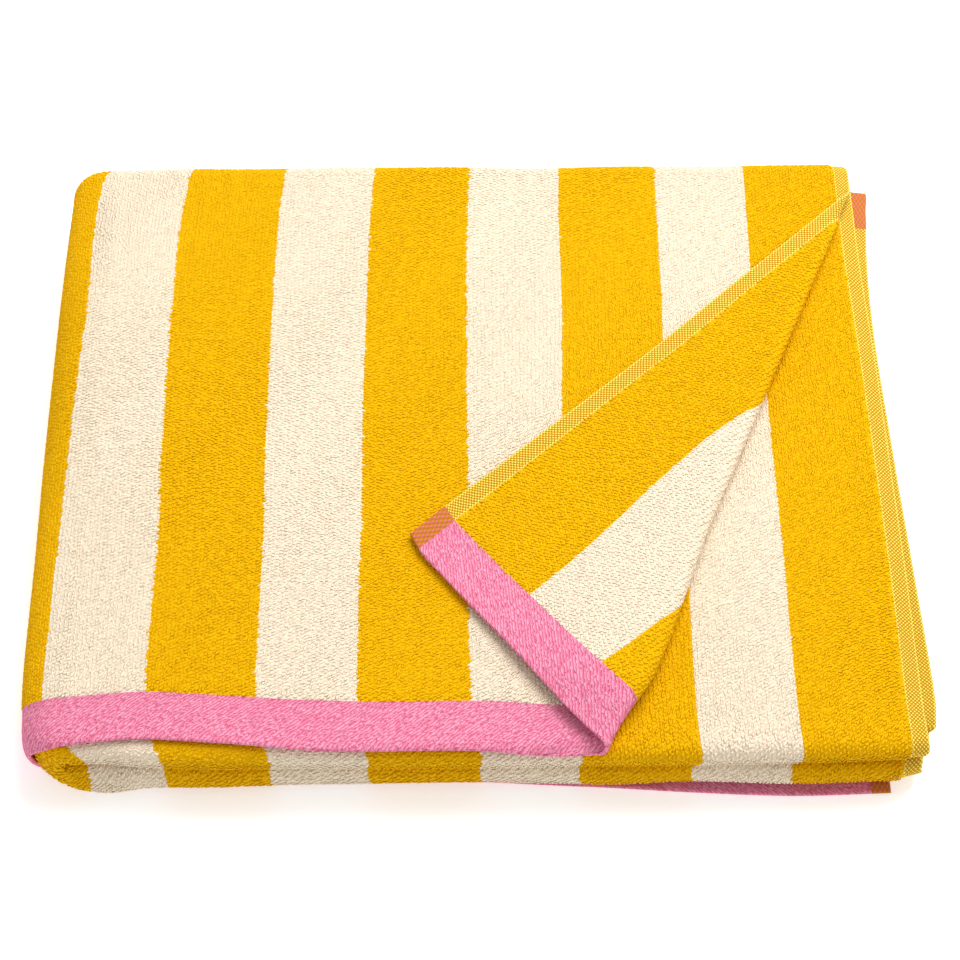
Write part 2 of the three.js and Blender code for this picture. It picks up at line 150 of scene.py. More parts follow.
# %% How far the stripes are drawn
DRAWN = table(
    "y     e1    e2    e3    e4    e5    e6    e7    e8",
    (-135, -2.5, -2.1, -3.7, -3.5, -3.9, -4.3, -1.3, -0.7),
    (-95, -1.6, -1.2, -2.9, -2.3, -3.0, -3.6, -2.2, -1.3),
    (-60, -1.2, -0.5, -2.4, -1.8, -2.5, -3.0, -3.3, 0.8),
    (-40, -1.2, -0.5, -2.3, -1.2, -1.8, -2.4, -3.0, 2.3),
    (-12, -1.2, -1.8, -2.9, -1.1, -1.6, -1.2, -2.2, 3.2),
    (20, -1.3, -2.6, -3.2, -1.3, -1.8, -0.2, -1.2, 0.9),
    (70, -1.4, -3.6, -3.7, -1.0, -1.8, 1.2, 0.8, 2.0),
    (110, -2.7, -3.5, -3.4, -0.6, -1.2, 1.4, 1.5, 3.3),
    (140, -0.8, -0.5, -1.2, 0.9, 0.1, 2.1, 1.5, 3.6),
)
PANEL_DRAWN = {"e7": 2.4, "e8": 2.3}
DRAWN_FROM = 352.0  # nothing is drawn up to this place across the cloth
DRAWN_GIVES_WAY = (0, 60)  # over this stretch of the second panel PANEL_DRAWN takes over
BETWEEN_EDGES = [0, *[CREAM_STRIPE, YELLOW_STRIPE] * 3, CREAM_STRIPE]
DRAWN_EDGES = (WIDTH + YELLOW_STRIPE) / 2 + np.cumsum(BETWEEN_EDGES)
print("edges of the stripes at", DRAWN_EDGES.round(1).tolist(), "mm across the cloth")


# %% Helpers for smooth curves
def smooth(value, low, high):
    """0 before low, 1 after high, and 3t² - 2t³ between them."""
    t = np.clip((value - low) / (high - low), 0, 1)
    return t * t * (3 - 2 * t)


def mix(a, b, share):
    """a where the share is 0, b where it is 1, and in proportion between."""
    return a + (b - a) * share


def read(chart, column, place):
    """A column of a table at any place: a cubic between each two rows, whose slope at a row is
    that of the straight line through the rows on both sides of it."""
    keys, values = chart[next(iter(chart))], chart[column]
    at = np.clip(place, keys[0], keys[-1])
    row = np.clip(np.searchsorted(keys, at), 1, len(keys) - 1)
    before = np.maximum(np.arange(len(keys)) - 1, 0)
    after = np.minimum(np.arange(len(keys)) + 1, len(keys) - 1)
    slope = (values[after] - values[before]) / (keys[after] - keys[before])
    gap = keys[row] - keys[row - 1]
    t = (at - keys[row - 1]) / gap
    return (
        values[row - 1] * (2 * t**3 - 3 * t**2 + 1)
        + values[row] * (3 * t**2 - 2 * t**3)
        + slope[row - 1] * gap * (t**3 - 2 * t**2 + t)
        + slope[row] * gap * (t**3 - t**2)
    )


# %% [markdown]
# ## The section through the layers
# A flat stretch and a half circle each take their own length of cloth, so a distance along the
# towel leads to one place in the section. The towel's length is a little more than the section's,
# because real cloth lies in waves that are too small to model.

# %% Flat stretches and turns of the section
depths = [layers * LAYER_PITCH for layers in PANEL_LAYERS]
ends = [FIRST_HEM_Y, *TURN_Y, LAST_HEM_Y]
runs = []
for panel in range(PANELS):
    flat_run = {"from": ends[panel], "to": ends[panel + 1], "depth": depths[panel]}
    runs.append({**flat_run, "radius": 0.0, "side": 0.0})
    if panel < PANELS - 1:
        down = depths[panel + 1] - depths[panel]
        middle_depth = depths[panel] + down / 2
        turn = {"from": ends[panel + 1], "to": ends[panel + 1], "depth": middle_depth}
        runs.append({**turn, "radius": abs(down) / 2, "side": math.copysign(1, down)})
RUN = {name: np.array([run[name] for run in runs]) for name in runs[0]}
RUN["length"] = np.where(RUN["radius"] > 0, np.pi * RUN["radius"], np.abs(RUN["to"] - RUN["from"]))
RUN["start"] = np.concatenate([[0], np.cumsum(RUN["length"])[:-1]])
EASE_ALONG = RUN["length"].sum() / LENGTH
print("section length", round(RUN["length"].sum(), 1), "mm for", LENGTH, "mm of cloth")


def section(v):
    """Place in the section of cloth at v: how far from front to back, how deep under the outer
    face, and the radius it bends with there. On a turn, y = end + outwards · r · sin a and depth
    = middle - side · r · cos a, with a from 0 to half a circle."""
    s = v * EASE_ALONG
    i = np.clip(np.searchsorted(RUN["start"], s, side="right") - 1, 0, len(RUN["start"]) - 1)
    t = (s - RUN["start"][i]) / RUN["length"][i]
    radius, angle = RUN["radius"][i], np.pi * t
    flat_y = mix(RUN["from"][i], RUN["to"][i], t)
    y = flat_y + np.sign(RUN["from"][i]) * radius * np.sin(angle)
    depth = RUN["depth"][i] - RUN["side"][i] * radius * np.cos(angle)
    return y, depth, np.where(radius > 0, radius, np.inf)


def from_run(s, run, low, high):
    """0 before and 1 after a place in the section, which is given in millimetres from a run's
    start."""
    return smooth(s, RUN["start"][run] + low, RUN["start"][run] + high)


# %% [markdown]
# ## The half fold and the uneven edges
# The five panels are wrapped round the fold at the left as on a roller, the outer ones with a
# wide bend and the inner ones with a tight one. Each panel ends at the right in its own place,
# which the table of sides gives, and the front line is as uneven as the real one. The inner
# layers have more cloth than their way is long, and it is gathered beside the fold.

# %% The uneven right edge and the waves of the top
OUTER_BEND = np.pi * (HALF_HEIGHT - LAYER_PITCH / 2) / 2  # the outer layer's way round to the top
GATHER = 33.0  # how far from the fold the inner layers are gathered


def right_edge(y, depth, upper):
    """Right edge of a layer at a depth: straight between the edges of the panels over and under
    it."""
    columns = [np.where(upper, read(SIDES, "first", y), read(SIDES, "under", y))]
    columns += [read(SIDES, name, y) for name in ("third", "fifth", "fourth", "second")]
    layer = np.clip(depth / LAYER_PITCH - 0.5, 0, PANELS - 1)
    over = np.minimum(layer.astype(int), PANELS - 2)
    edges = np.stack(np.broadcast_arrays(*columns))
    first = np.take_along_axis(edges, over[None], 0)[0]
    second = np.take_along_axis(edges, over[None] + 1, 0)[0]
    return mix(first, second, layer - over)


def waves(x, y):
    """Long soft waves of the pack's top: a sum of sines of x and y."""
    total = 0.0
    for rise, along_x, along_y, phase in WAVES:
        total = total + rise * np.sin(2 * np.pi * (x / along_x + y / along_y) + phase)
    return total


def thinness(u, v):
    """How much thinner than terry the hem and the selvedge are."""
    hem = 1 - smooth(np.minimum(v, LENGTH - v), HEM - 1, HEM + 2)
    selvedge = 1 - smooth(np.minimum(u, WIDTH - u), SELVEDGE - 1, SELVEDGE + 2)
    plain = mix(TERRY_THICK, HEM_THICK, hem)
    return TERRY_THICK - mix(plain, np.minimum(plain, SELVEDGE_THICK + 0.5 * hem), selvedge)


def gathered(beyond, length, reach, ease):
    """How far cloth at a distance beyond its bend is drawn outwards. The inner layers are
    gathered next to the fold, and further on lie as even as the outer layer: they keep ease ·
    beyond - slack · (1 - exp(-beyond / gather))."""
    slack = length * ease - reach
    kept = ease * beyond - slack * (1 - np.exp(-beyond / GATHER))
    return np.where(beyond > 0, kept * length / reach - beyond, 0)


def stripes_drawn(u, s, y0):
    """How far the stripes of an upper half are drawn to the right: the tables' values at the
    edges of the stripes, in proportion between them, and nothing at the fold and at the right
    edge."""
    knots = np.concatenate([[DRAWN_FROM], DRAWN_EDGES, [WIDTH]])
    inside = from_run(s, 2, *DRAWN_GIVES_WAY)
    total = 0.0
    for number, name in enumerate(list(DRAWN)[1:], 1):
        hat = np.interp(u, knots, np.arange(len(knots)) == number)
        total = total + hat * mix(read(DRAWN, name, y0), PANEL_DRAWN.get(name, 0.0), inside)
    return total


# %% The pack before its corner is turned back
def pack_point(u, v):
    """Middle of the cloth in the pack. Across the fold, x = axis - r · cos a and z = middle + r ·
    sin a, where r is the layer's distance from the middle plane. Beyond it the cloth runs
    straight to its right edge."""
    y0, depth, _ = section(v)
    middle = read(SIDES, "middle", y0)
    axis = read(SIDES, "fold", y0) + HALF_HEIGHT
    upper = u > middle
    radius = HALF_HEIGHT - depth
    bend = np.pi * radius / 2
    length = np.where(upper, WIDTH - middle, middle) - bend
    reach = right_edge(y0, depth, upper) - axis
    ease = (read(SIDES, "first", y0) - axis) / (WIDTH - middle - OUTER_BEND)
    across = np.abs(u - middle) + gathered(np.abs(u - middle) - bend, length, reach, ease)
    across = across + np.where(upper, stripes_drawn(u, v * EASE_ALONG, y0), 0)
    angle = np.minimum(across / radius, np.pi / 2) * np.where(upper, 1, -1)
    bulging = np.where(upper, 0, BULGE["most"] * smooth(-y0, -BULGE["start"], -BULGE["end"]))
    bulge = bulging * (radius / HALF_HEIGHT) * np.sin(2 * angle) ** 2
    straight = axis + (across - bend) * reach / length
    x = np.where(across > bend, straight, axis - radius * np.cos(angle) - bulge)
    top = (1 + np.sin(angle)) / 2

    near_front = 1 - smooth(y0, FIRST_HEM_Y, FIRST_HEM_Y + FRONT_EASE)
    outer = 1 - smooth(depth, 0.5 * LAYER_PITCH, 1.5 * LAYER_PITCH)
    place = np.where(v * EASE_ALONG > RUN["start"][INNER_RUN], np.maximum(x, INNER_FROM), x)
    hem_shift = mix(read(FRONT, "under", place), read(FRONT, "hem", place), top) - FIRST_HEM_Y
    nose_shift = mix(read(FRONT, "lower", place), read(FRONT, "upper", place), top) - NOSE_Y
    share = (x + HALF_LENGTH_X) / (2 * HALF_LENGTH_X)
    near_back = smooth(y0, BACK_LEAN["start"], BACK_LEAN["end"])
    lean = mix(BACK_LEAN["left"], BACK_LEAN["right"], share) * near_back
    y = y0 + mix(nose_shift, hem_shift, outer) * near_front + lean

    past_nose = np.clip(TURN_Y[1] + nose_shift - y, 0, NOSE_REACH * NOSE_RADIUS)
    over_nose = top * (NOSE_RADIUS - np.sqrt(NOSE_RADIUS**2 - past_nose**2))
    sunk = radius - outer * (thinness(u, v) / 2 * np.sin(angle) + over_nose)
    z = HALF_HEIGHT + sunk * np.sin(angle) - bulge

    free = smooth(z, LAYER_PITCH / 2, 2 * LAYER_PITCH) * z / (2 * HALF_HEIGHT)
    low = RIGHT_SINK["share"] * smooth(x, RIGHT_SINK["start"], RIGHT_SINK["end"]) * 2 * HALF_HEIGHT
    sag = mix(read(FRONT, "sag", place), NOSE_SAG["upper"], top) * (1 - outer)
    nose_sag = sag * smooth(-y, -NOSE_SAG["start"], -NOSE_SAG["end"])
    return np.stack([x, y, z + free * (waves(x, y) - low) - nose_sag], -1)


# %% [markdown]
# ## The corner turned back
# The front right corner of the top panel is turned back over a slanting line. The cloth goes half
# round a roll there, narrow at the right edge and wider at the hem, and then settles on the pack.
# It could be a separate flap, but then the stripes wouldn't run on through the fold. On the real
# towel the roll is fullest a little behind the hem, where the crease bows outwards, and the stiff
# hem pulls it tight again and inwards.

# %% Sizes of the turned-back corner
CREASE_RIGHT, CREASE_HEM = np.array([164.5, 122.5]), np.array([55.6, -135.5])
ROLL_AT_RIGHT, ROLL_AT_HEM = 1.6, 3.9
ROLL_FULLER, ROLL_TIGHTER = 1.2, 0.62  # times the even roll, behind the hem and at the hem
BOWED_OUT, BOWED_IN, BOW_WIDTH = 3.2, -3.0, 22.0  # the crease's bow behind the hem and at the hem
# Where these begin and end, in shares of the crease from the right edge
FULLER, TIGHTER_FROM = (0.65, 0.88), 0.91
BOW_OUT, BOW_IN_FROM = (0.62, 0.86), 0.88
SETTLE, REST = 42.0, 3.5  # how far the corner takes to settle, and its height over the pack then
CREASE_LENGTH = np.linalg.norm(CREASE_HEM - CREASE_RIGHT)
CREASE = (CREASE_HEM - CREASE_RIGHT) / CREASE_LENGTH
OVER_CREASE = np.array([-CREASE[1], CREASE[0]])
print("the crease is", round(float(CREASE_LENGTH), 1), "mm long")


# %% Turn the corner back
def by_crease(x, y):
    """A place as its distances along the crease, from the right edge, and across it."""
    dx, dy = x - CREASE_RIGHT[0], y - CREASE_RIGHT[1]
    return dx * CREASE[0] + dy * CREASE[1], dx * OVER_CREASE[0] + dy * OVER_CREASE[1]


def in_pack(along, across):
    """The place in the pack that by_crease gives these distances for."""
    x = CREASE_RIGHT[0] + CREASE[0] * along + OVER_CREASE[0] * across
    y = CREASE_RIGHT[1] + CREASE[1] * along + OVER_CREASE[1] * across
    return x, y


def on_crease(along, low, high):
    """0 before and 1 after a place on the crease, in shares of its length."""
    return smooth(along, low * CREASE_LENGTH, high * CREASE_LENGTH)


def from_crease(x, y):
    """Distance along the crease, radius of the roll there, and how far the cloth has gone past
    the start of the roll."""
    along, across = by_crease(x, y)
    roll = mix(ROLL_AT_RIGHT, ROLL_AT_HEM, np.clip(along / CREASE_LENGTH, 0, 1.1))
    fuller = mix(1, ROLL_FULLER, on_crease(along, *FULLER))
    roll = roll * mix(fuller, ROLL_TIGHTER, on_crease(along, TIGHTER_FROM, 1))
    return along, roll, across + np.pi * roll / 2


def bowed(along, away):
    """How far the crease and the cloth next to it bow outwards: a smooth rise and fall along the
    crease, dying out as exp(-(distance from the crease / width)²)."""
    out = BOWED_OUT * on_crease(along, *BOW_OUT)
    out = mix(out, BOWED_IN, on_crease(along, BOW_IN_FROM, 1))
    return out * np.exp(-((away / BOW_WIDTH) ** 2))


def turned_back(flat):
    """Half round the roll, then back over the pack: the way across is r · sin a less what is
    left, and the rise is r · (1 - cos a), falling to the resting height as exp(-(distance /
    settle)²)."""
    along, roll, past = from_crease(flat[..., 0], flat[..., 1])
    around = np.clip(past / roll, 0, np.pi)
    rest = past - roll * around
    over = roll * np.sin(around) - rest - np.pi * roll / 2
    settled = mix(REST, 2 * roll, np.exp(-((rest / SETTLE) ** 2)))
    rise = np.where(around < np.pi, roll * (1 - np.cos(around)), settled)
    x, y = in_pack(along, over)
    top = 2 * HALF_HEIGHT - LAYER_PITCH / 2
    under = top + waves(x, y)
    sag = flat[..., 2] - (top + waves(flat[..., 0], flat[..., 1]))
    lifted = np.stack([x, y, under + rise + sag * np.cos(around / 2) ** 2], -1)
    bow = bowed(along, past - np.pi * roll / 2)[..., None] * np.array([*OVER_CREASE, 0])
    return np.where((past > 0)[..., None], lifted, flat) + bow


def on_top_panel(u, v):
    """True on the upper half of the first panel, which the corner belongs to."""
    return (v * EASE_ALONG < RUN["start"][1]) & (u > WIDTH / 2)


def cloth_point(u, v):
    """Middle of the cloth at u, v in the folded towel."""
    flat = pack_point(u, v)
    return np.where(on_top_panel(u, v)[..., None], turned_back(flat), flat)


def cloth_frame(u, v):
    """The cloth's middle, its way across and its normal, from the places a little to each
    side."""
    near = 0.05
    across = cloth_point(np.minimum(u + near, WIDTH), v) - cloth_point(np.maximum(u - near, 0), v)
    along = cloth_point(u, np.minimum(v + near, LENGTH)) - cloth_point(u, np.maximum(v - near, 0))
    normal = np.cross(across, along)
    across /= np.linalg.norm(across, axis=-1, keepdims=True)
    normal /= np.linalg.norm(normal, axis=-1, keepdims=True)
    return cloth_point(u, v), across, normal


# %% [markdown]
# ## Where loops stand
# Every terry stretch has loops on both faces, but only those on the outside show, and only they
# are modelled. Between real loops one looks down on more yarn and not on bare ground, so under
# them the sheet's face lies where their roots close up. Between the layers the sheet keeps the
# thickness that the pressed loops give it, so the layers lie as close together as they really do.

# %% Outer faces that carry loops
GROUND_HALF = 1.08  # from the cloth's middle to where the roots of its loops close up
WRAPPED_FROM = (-1.75, -1.45)  # angle round the left fold where the outer loops set in, in radians
# Where loops set in and stop, in millimetres of the section from the start of a run
BACK_STARTS, FIRST_ENDS = (-8, -2), (0, 12)
NOSE_STARTS, NOSE_ENDS = (-14, -8), (14, 20)
BARED = (-12, -7)  # from the crease: where the third panel comes out from under the corner


def outside(u, v, face):
    """From 0 between the layers to 1 on a face that shows. The face is 1 or -1, as the normal has
    it."""
    s = v * EASE_ALONG
    y0, depth, _ = section(v)
    flat = pack_point(u, v)
    _, roll, past = from_crease(flat[..., 0], flat[..., 1])
    corner = on_top_panel(u, v) * smooth(past, -1, 1)
    if face < 0:
        return corner
    across = u - read(SIDES, "middle", y0)
    first = 1 - from_run(s, 2, *FIRST_ENDS)
    wrapped = first * smooth(across / (HALF_HEIGHT - depth), *WRAPPED_FROM)
    back = from_run(s, 1, *BACK_STARTS) * first
    nose = from_run(s, 3, *NOSE_STARTS) * (1 - from_run(s, 4, *NOSE_ENDS))
    third = (s > RUN["start"][4] - 1) & (s < RUN["start"][5]) & (across > 0)
    bared = third * smooth(past - np.pi * roll / 2, *BARED)
    return np.maximum.reduce([wrapped * (1 - corner), back, nose, bared])


# %% Thickness of the sheet
TIGHT_RADIUS, TIGHT_WIDTH, PRESSED = 2.6, 6.0, 0.6  # in bends as tight as this the cloth is pressed
RIM_ROUND, RIM_LEAST = 0.8, 0.3  # width of the rounded rim, and the share of thickness left on it


def face_height(u, v, face):
    """How far a face of the sheet lies from the cloth's middle. The sheet is rounded off at its
    rim as a quarter circle, and pressed thin in the tightest bends."""
    side, end = np.minimum(u, WIDTH - u), np.minimum(v, LENGTH - v)
    thick = (TERRY_THICK - thinness(u, v)) / 2
    terry = smooth(side, SELVEDGE - 0.5, SELVEDGE + 1.5) * smooth(end, HEM - 0.5, HEM + 1.5)
    height = mix(thick, GROUND_HALF, terry * outside(u, v, face))
    _, depth, radius = section(v)
    on_fold = (np.abs(u - WIDTH / 2) < TIGHT_WIDTH) & (HALF_HEIGHT - depth < TIGHT_RADIUS)
    rim = np.clip(np.minimum(side, end) / RIM_ROUND, 0, 1)
    rounding = mix(RIM_LEAST, 1, np.sqrt(1 - (1 - rim) ** 2))
    return np.where(on_fold | (radius < TIGHT_RADIUS), PRESSED, 1.0) * height * rounding


# %% [markdown]
# ## The sheet
# Rows run across the towel and columns along it. They are close together where the cloth bends
# and at the rim, and wider on flat stretches. On the first panel the columns gather at the
# crease, so that the roll is round from end to end.

# %% Rows and columns of the sheet
RIM = np.array([0.0, 0.15, 0.4, 0.8, 1.6])
WOVEN_ROWS = 10  # rows from the rim to the end of the woven hem
ROWS_PER_RUN = (64, 14, 26, 20, 60, 10, 16, 8, 24)
COLUMNS = {"lower": 34, "fold": 30, "upper": 44, "roll": 20, "corner": 34}
CLOSER = 1.6  # how much closer together the upper columns are towards the right edge
CREASE_FADES = (0, 30)  # over this stretch of the second panel the columns leave the crease
LEAST_STEP = 0.1  # between two columns
HALVINGS = 22


def sheet_rows():
    """Rows along the length: the rim and the woven end of each hem, then each run in even
    steps."""
    hem = np.concatenate([RIM, np.linspace(3.0, HEM + 2, WOVEN_ROWS)])
    rows = [hem]
    for i, steps in enumerate(ROWS_PER_RUN):
        start = max(RUN["start"][i] / EASE_ALONG, hem[-1])
        stop = min((RUN["start"][i] + RUN["length"][i]) / EASE_ALONG, LENGTH - hem[-1])
        rows.append(np.linspace(start, stop, steps, endpoint=False)[int(i == 0):])
    rows.append(LENGTH - hem[::-1])
    return np.concatenate(rows)


def along_roll(v, start, share):
    """The place across each row where the cloth has gone a share of the way round the roll, found
    by halving, or the edge where the row misses the roll."""
    low, high = start.copy(), np.full_like(start, WIDTH)
    for _ in range(HALVINGS):
        u = (low + high) / 2
        flat = pack_point(u, v)
        _, roll, past = from_crease(flat[..., 0], flat[..., 1])
        beyond = past > share * np.pi * roll
        low, high = np.where(beyond, low, u), np.where(beyond, u, high)
    return high


def sheet_columns(v):
    """Columns across the width in each row, as one array with a row for each v."""
    y0, depth, _ = section(v)
    middle = read(SIDES, "middle", y0)
    bend = np.pi / 2 * (HALF_HEIGHT - depth)
    start = middle + bend
    inner = WIDTH - RIM[-1]
    first = v * EASE_ALONG < RUN["start"][1]
    most = inner - COLUMNS["corner"] * LEAST_STEP
    gathered_end = np.where(first, np.minimum(along_roll(v, start, 1), most), most)
    latest = gathered_end - COLUMNS["roll"] * LEAST_STEP
    gathered_start = np.where(first, np.minimum(along_roll(v, start, 0), latest), latest)
    even = (inner - start) / (COLUMNS["upper"] + COLUMNS["roll"] + COLUMNS["corner"])
    loose = from_run(v * EASE_ALONG, 2, *CREASE_FADES)
    roll_start = mix(gathered_start, start + even * COLUMNS["upper"], loose)
    roll_end = mix(gathered_end, start + even * (COLUMNS["upper"] + COLUMNS["roll"]), loose)
    first_stop, last_stop = np.full_like(v, RIM[-1]), np.full_like(v, inner)
    stops = [first_stop, middle - bend, start, roll_start, roll_end, last_stop]
    columns = [np.broadcast_to(RIM[:-1, None], (len(RIM) - 1, len(v)))]
    for i, (name, steps) in enumerate(COLUMNS.items()):
        share = np.linspace(0, 1, steps, endpoint=False)
        if name == "upper":
            share = 1 - (1 - share) ** CLOSER
        columns.append(mix(stops[i], stops[i + 1], share[:, None]))
    columns.append(np.broadcast_to(WIDTH - RIM[::-1, None], (len(RIM), len(v))))
    return np.concatenate(columns).T


def grid_faces(rows, columns):
    """Four corners of each square of a grid of points, as one array."""
    at = np.arange(rows * columns).reshape(rows, columns)
    return np.stack([at[:-1, :-1], at[:-1, 1:], at[1:, 1:], at[1:, :-1]], -1).reshape(-1, 4)


# %% A mesh from arrays
def make_piece(name, points, faces, cloth_uv):
    """A mesh from arrays: points in millimetres, faces as corner numbers, and for each point its
    place in the flat cloth, which goes into a UV map in metres."""
    mesh = bpy.data.meshes.new(name)
    sides = faces.shape[1]
    mesh.vertices.add(len(points))
    mesh.vertices.foreach_set("co", ((points + SETTLED) * MM).astype(np.float32).ravel())
    mesh.loops.add(faces.size)
    mesh.loops.foreach_set("vertex_index", faces.astype(np.int32).ravel())
    mesh.polygons.add(len(faces))
    mesh.polygons.foreach_set("loop_start", np.arange(0, faces.size, sides, dtype=np.int32))
    mesh.update(calc_edges=True)
    layer = mesh.uv_layers.new(name="flat_cloth")
    layer.uv.foreach_set("vector", (cloth_uv[faces.ravel()] * MM).astype(np.float32).ravel())
    mesh.shade_smooth()
    piece = bpy.data.objects.new(name, mesh)
    bpy.context.scene.collection.objects.link(piece)
    print(name, "has", len(points), "points and", len(faces) * (sides - 2), "triangles")
    return piece


# %% The woven sheet as a closed mesh
def woven_sheet():
    """Both faces of the sheet and the narrow wall round its rim, as one closed mesh."""
    v_rows = sheet_rows()
    u = sheet_columns(v_rows)
    v = np.broadcast_to(v_rows[:, None], u.shape)
    middle, _, normal = cloth_frame(u, v)
    upper = middle + normal * face_height(u, v, 1)[..., None]
    lower = middle - normal * face_height(u, v, -1)[..., None]
    points = np.concatenate([upper.reshape(-1, 3), lower.reshape(-1, 3)])
    front = grid_faces(*u.shape)
    at = np.arange(u.size).reshape(u.shape)
    rim = np.concatenate([at[0, :-1], at[:-1, -1], at[-1, :0:-1], at[:0:-1, 0]])
    after = np.roll(rim, -1)
    wall = np.stack([rim, rim + u.size, after + u.size, after], -1)
    faces = np.concatenate([front, front[:, ::-1] + u.size, wall])
    flat = np.stack([u, v], -1).reshape(-1, 2)
    return make_piece("terry_sheet", points, faces, np.concatenate([flat, flat]))


sheet = woven_sheet()

# %% [markdown]
# ## The loops
# Terry loops stand in rows, one and a half millimetres apart. Hair would not export, and a bump
# would leave the outline smooth, so each loop is a small closed bean of eight points: it rises
# from one root, bends over and goes down to the other. All of a loop takes the colour of its
# root, which makes the edges of the stripes as ragged as they are on the real towel. Every other
# row is set half a step further, so that the loops close up without a gap.

# %% Sizes of the loops
rng = np.random.default_rng(7)
LOOP_SPAN, LOOP_RISE, LOOP_HALF_WIDTH = 1.05, 0.48, 0.5  # the span is from the middle to a root
LOOP_LEAN, LOOP_SUNK = 0.30, 0.3
LOOP_STRAY = 0.16  # how far a loop stands off its place
LOOP_TURNS, LOOP_TIPS = 0.3, 0.9  # how far its way and its lean stray, in radians
LOOP_UNEVEN, LOOP_LEAST, LOOP_MOST = 0.1, 0.75, 1.3  # times the even size
RING_AT, RING_UP, RING_TILT = 0.52, 0.84, 0.1  # of the span and of the rise
SHOULDER_DOWN, CROWN_UP = 0.2, 0.16  # a ring's sides go down by a share of the rise, its top goes up
HANG_LEAST, HANG_MOST = 0.3, 1.4  # times the even fall of loops that hang


# %% Places of the loops
def lattice(u_range, v_range):
    """Places of the loops in a stretch of the flat cloth: every other row along it is set half a
    step further, and each loop stands a little off its place."""
    u, v = np.meshgrid(np.arange(*u_range, LOOP_ACROSS), np.arange(*v_range, LOOP_ALONG))
    v = v + (np.arange(u.shape[1]) % 2) * LOOP_ALONG / 2
    u, v = u.ravel(), v.ravel()
    u = u + rng.normal(0, LOOP_STRAY, u.size)
    v = v + rng.normal(0, LOOP_STRAY, v.size)
    side, end = np.minimum(u, WIDTH - u), np.minimum(v, LENGTH - v)
    keep = (side > SELVEDGE + 0.5) & (end > HEM + 0.4)
    return u[keep], v[keep]


def lie(u, v):
    """Angle that the loops lie at, in radians: an even part and two slow sine waves over the
    cloth, of which the first is itself bent by a third."""
    return 0.75 + 0.5 * np.sin(u / 47 + 1.3 * np.sin(v / 83)) + 0.35 * np.sin(v / 31 + u / 71)


# %% Plant loops on a stretch of cloth
def planted(name, u, v, face, hang=0.0):
    """Loops as one mesh. Each is two roots, one span to each side of its place, and two rings of
    three points between them. A ring's middle is foot + span · step + rise · (up + tilt · step) +
    lean, and its points lie half a width to each side of that and on top. Loops that hang are
    longer by that share and fall by about a third as many millimetres."""
    middle, across, normal = cloth_frame(u, v)
    normal = normal * face
    beside = np.cross(normal, across)
    angle = lie(u, v) + rng.normal(0, LOOP_TURNS, u.size)
    lean_to = lie(v, u) * 2 + rng.normal(0, LOOP_TIPS, u.size)
    size = rng.normal(1, LOOP_UNEVEN, (3, u.size)).clip(LOOP_LEAST, LOOP_MOST)
    cos, sin = np.cos(angle)[:, None], np.sin(angle)[:, None]
    run, wide = across * cos + beside * sin, beside * cos - across * sin
    lean = (across * np.cos(lean_to)[:, None] + beside * np.sin(lean_to)[:, None]) * LOOP_LEAN
    fall = np.array([0, 0, hang / 3])
    lean = lean - fall * rng.uniform(HANG_LEAST, HANG_MOST, u.size)[:, None]
    span = run * (LOOP_SPAN * size[0])[:, None]
    rise = normal * (LOOP_RISE * size[1] * (1 + hang))[:, None]
    half = wide * (LOOP_HALF_WIDTH * size[2])[:, None]
    foot = middle + normal * (face_height(u, v, face) - LOOP_SUNK)[:, None]
    rings = []
    for step in (-RING_AT, RING_AT):
        ring = foot + span * step + rise * (RING_UP + RING_TILT * step) + lean
        down = rise * SHOULDER_DOWN
        rings += [ring + half - down, ring + normal * CROWN_UP, ring - half - down]
    points = np.stack([foot - span, *rings, foot + span], 1)
    bean = np.array(
        [(0, 2, 1), (0, 3, 2), (0, 1, 3), (7, 4, 5), (7, 5, 6), (7, 6, 4)]
        + [(1, 2, 5), (1, 5, 4), (2, 3, 6), (2, 6, 5), (3, 1, 4), (3, 4, 6)]
    )
    faces = (np.arange(u.size)[:, None, None] * 8 + bean).reshape(-1, 3)
    flat = np.repeat(np.stack([u, v], -1), 8, 0)
    return make_piece(name, points.reshape(-1, 3), faces, flat)


# %% Leave out what nobody sees
FLAP_HIDES = 12.0  # so far inside the turned-back corner's edges nothing under it shows


def under_corner(u, v):
    """True where the turned-back corner hides the top panel: where the place on the other side of
    the crease, at the same distance, is well inside the pack's right and front edge."""
    flat = pack_point(u, v)
    along, across = by_crease(flat[..., 0], flat[..., 1])
    x, y = in_pack(along, -across)
    inside_right = read(SIDES, "first", y) - x > FLAP_HIDES
    return (across < -1) & inside_right & (y - read(FRONT, "hem", x) > FLAP_HIDES)


def loops_where(name, u_range, v_range, face, hidden=None, hang=0.0):
    """Loops on the part of a stretch whose face shows."""
    u, v = lattice(u_range, v_range)
    shows = outside(u, v, face) > 0.5
    if hidden is not None:
        shows &= ~hidden(u, v)
    return planted(name, u[shows], v[shows], face, hang)


